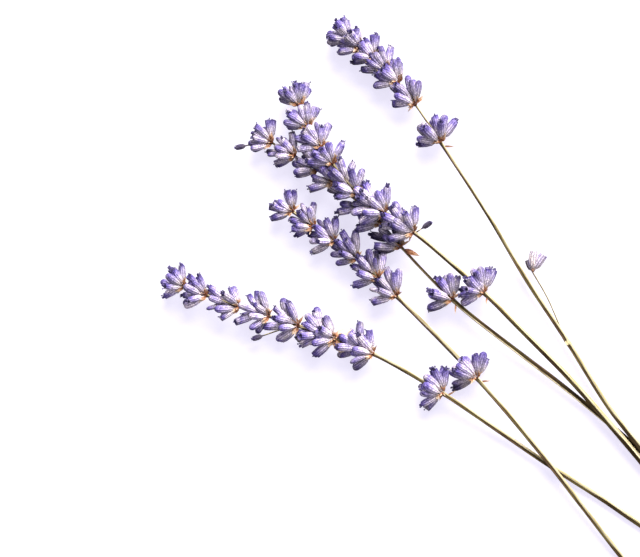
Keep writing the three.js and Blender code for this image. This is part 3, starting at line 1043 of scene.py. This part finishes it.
# A bract's look is its width, its light and its tone.
SMALL_BRACT = (0.25, 0.3, 1.0)
BRACT_LOOKS = {"stem_c_red_bract": (0.5, 0.55, 0.6), "stem_b_narrow_bract": SMALL_BRACT,
               "stem_e_papery_bract_1": (1.15, 0.6, 2.8),
               "stem_e_papery_bract_2": (1.1, 0.6, 2.8)}
LOWER_BRACT_SHARE = 0.8
STALK_RADIUS = 0.2 * MM
STALK_RISE = Vector((0, 0, 0.4 * MM))
SIDE_STALK_BOW = Vector((0.8, -1.0, 0.6)) * MM
STRAY_BUD_LENGTH = 4.2 * MM
BUD_MODEL_LENGTH = 7.2 * MM
BUD_WIDTH, BUD_LIGHT, BUD_WITHER = 1.35, 0.2, 0.75

for node in sorted(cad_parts):
    if "bract" in node:
        foot, end = foot_and_end(node)
        width, light, tone = BRACT_LOOKS.get(node, SMALL_BRACT)
        if "lower" in node:
            end = foot + LOWER_BRACT_SHARE * (end - foot)
        place = from_foot_to_end(foot, end, BRACT_LENGTH * MM, width)
        finished[node] = copied(small_parts["bract"], place, light, 0, tone)
    if node.endswith("_bud"):
        foot, end = foot_and_end(node)
        bud_base = end + (foot - end).normalized() * STRAY_BUD_LENGTH
        middle = (foot + bud_base) / 2 + STALK_RISE
        stalk = make_stalk("stalk", [foot, middle, bud_base], STALK_RADIUS)
        place = from_foot_to_end(bud_base, end, BUD_MODEL_LENGTH, BUD_WIDTH)
        bud = copied(flower_kinds["petalled"], place, BUD_LIGHT, BUD_WITHER)
        finished[node] = joined([stalk, bud], node)

foot, end = foot_and_end("stem_a_side_stalk")
ring_place = stems["stem_a"]["line"][
    int(np.argmin(abs(stems["stem_a"]["lengths"] - branch_station("stem_a"))))]
bow = (foot + end) / 2 + SIDE_STALK_BOW
finished["stem_a_side_stalk"] = make_stalk("side_stalk", [ring_place, foot, bow, end],
                                           STALK_RADIUS)
print("strays:", [n for n in finished if "bract" in n or n.endswith("_bud")])

# %% [markdown]
# The side branch ends in three florets that spread like the toes of a bird's foot: a small dark
# one and two pale ones. Each has a lean in degrees, a size, a light and a tone.

# %% Side flowers
SIDE_FLOWERS = ((44, 0.62, 0.0, 1.0), (16, 0.98, 0.5, 0.3), (-12, 0.95, 0.45, 0.7))
SIDE_FLOWERS_POINT = Vector((0.45, -0.87, 0.12)).normalized()
SIDE_FLOWER_GIRTH = 1.3
# How strongly the side flowers' lit side and shaded side are painted.
SIDE_FLOWER_PAINTED_SHADING = 0.2


def make_side_flowers(node):
    _, end = foot_and_end("stem_a_side_stalk")
    towards = SIDE_FLOWERS_POINT
    side = towards.cross(Vector((0, 0, 1))).normalized()
    base = Matrix((side.cross(towards), side, towards)).transposed().to_4x4()
    parts = []
    for lean, size, light, tone in SIDE_FLOWERS:
        girth = SIDE_FLOWER_GIRTH * size
        place = (Matrix.Translation(end) @ base @ Matrix.Rotation(math.radians(lean), 4, "X")
                 @ Matrix.Diagonal((girth, girth, size, 1)))
        parts.append(copied(flower_kinds["open"], place, light, 0, tone, SIDE_FLOWER_PAINTED_SHADING))
        parts.append(copied(small_parts["bract"], place @ Matrix.Scale(0.5, 4), 0.5, 0))
    return joined(parts, node)


finished["stem_a_side_flowers"] = make_side_flowers("stem_a_side_flowers")

# %% [markdown]
# ## Tie the pieces to the frame
# Every finished piece rides on the one body and is named after the plain solid that it stands
# for, which is hidden. The models that were copied are no longer needed.


for model in (*flower_kinds.values(), *small_parts.values(), outline):
    bpy.data.objects.remove(model)
for node, piece in finished.items():
    piece.name = node + "_finished"
    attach(piece, "root")
    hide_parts(node)
print(len(finished), "pieces,", sum(len(p.data.polygons) for p in finished.values()), "faces")

# %% [markdown]
# ## Floor and light
# The bunch lies on a pale table in bright, soft light from one side. A sun with a wide disc
# gives soft shadows, and the world fills them. The stage shows the camera something else than
# it gives as light. To the camera the table is grey, with a strong pale violet glow that makes
# up about half of its brightness, so that the shadows stay pale and cool, and the world is
# white. To all other rays the table is near white, and the world is dimmer.

# %% Stage
TABLE_GLOW = 0.84
SUN_ELEVATION = 34
SUN_FROM = Vector((0.46, -0.89, 0)).normalized()
SUN_ENERGY = 7.6
SUN_SPREAD = 48
FILL_STRENGTH = 0.55

start_clean()
bpy.ops.mesh.primitive_plane_add(size=12.0, location=(0, 0, 0))
floor = bpy.context.object
floor.name = "floor"
table, tree, shader = new_material("white table", Roughness=0.9, Specular_IOR_Level=0.0,
                                   Emission_Color=linear("#ece8fc"))
seen = add_node(tree, "LightPath")
glow = add_node(tree, "Math", {"operation": "MULTIPLY"}, {
    0: seen.outputs["Is Camera Ray"], 1: TABLE_GLOW})
tree.links.new(glow.outputs[0], shader.inputs["Emission Strength"])
table_colour = add_node(tree, "Mix", {"data_type": "RGBA"}, {
    "Factor": seen.outputs["Is Camera Ray"], 6: linear("#f2f0f4"), 7: linear("#a09fa3")})
tree.links.new(table_colour.outputs[2], shader.inputs["Base Color"])
floor.data.materials.append(table)
floor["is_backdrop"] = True

start_clean()
bpy.ops.object.light_add(type="SUN", location=(0, 0, 1))
sun = bpy.context.object
sun.data.energy = SUN_ENERGY
sun.data.angle = math.radians(SUN_SPREAD)
sun.data.color = (1.0, 0.97, 0.93)
towards_sun = SUN_FROM * math.cos(math.radians(SUN_ELEVATION)) + Vector(
    (0, 0, math.sin(math.radians(SUN_ELEVATION))))
sun.rotation_euler = towards_sun.to_track_quat("Z", "Y").to_euler()

world = bpy.data.worlds.new("studio")
bpy.context.scene.world = world
world.use_nodes = True
tree = world.node_tree
fill = tree.nodes["Background"]
fill.inputs["Color"].default_value = linear("#f4f0f6")
fill.inputs["Strength"].default_value = FILL_STRENGTH
backdrop = add_node(tree, "Background", inputs={"Color": (1, 1, 1, 1), "Strength": 1.0})
ray = add_node(tree, "LightPath")
chosen = add_node(tree, "MixShader", inputs={0: ray.outputs["Is Camera Ray"], 1: fill.outputs[0],
                                             2: backdrop.outputs[0]})
tree.links.new(chosen.outputs[0], tree.nodes["World Output"].inputs["Surface"])
bpy.context.scene.view_settings.view_transform = "Standard"
print("sun", SUN_ELEVATION, "degrees up, table glow", TABLE_GLOW)

# %% [markdown]
# ## Camera
# The camera looks straight down from far above through a long lens, turned so that the stems
# run from the lower right to the upper left.

# %% Camera
VIEW_WIDTH = 211.2 * MM
VIEW_CENTRE = Vector((59.2, 18.2, 0)) * MM
VIEW_TURN = 220
LENS = 300
SENSOR = 36

camera_data = bpy.data.cameras.new("camera")
camera_data.lens = LENS
camera_data.sensor_width = SENSOR
camera = bpy.data.objects.new("camera", camera_data)
bpy.context.scene.collection.objects.link(camera)
camera.location = VIEW_CENTRE + Vector((0, 0, VIEW_WIDTH * LENS / SENSOR))
camera.rotation_euler = (0, 0, math.radians(VIEW_TURN))
camera_data.clip_end = 20
bpy.context.scene.camera = camera
print("camera", round(camera.location.z, 2), "m above the table")

# %% [markdown]
# ## Measure
# The finished bunch should fill about the same box as the plain model, so both boxes are printed,
# in millimetres.

# %% Measure
finished_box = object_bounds()
for label, box in (("plain", cad_box), ("finished", finished_box)):
    print(label, [round((b - a) / MM, 1) for a, b in zip(*box)], "mm")
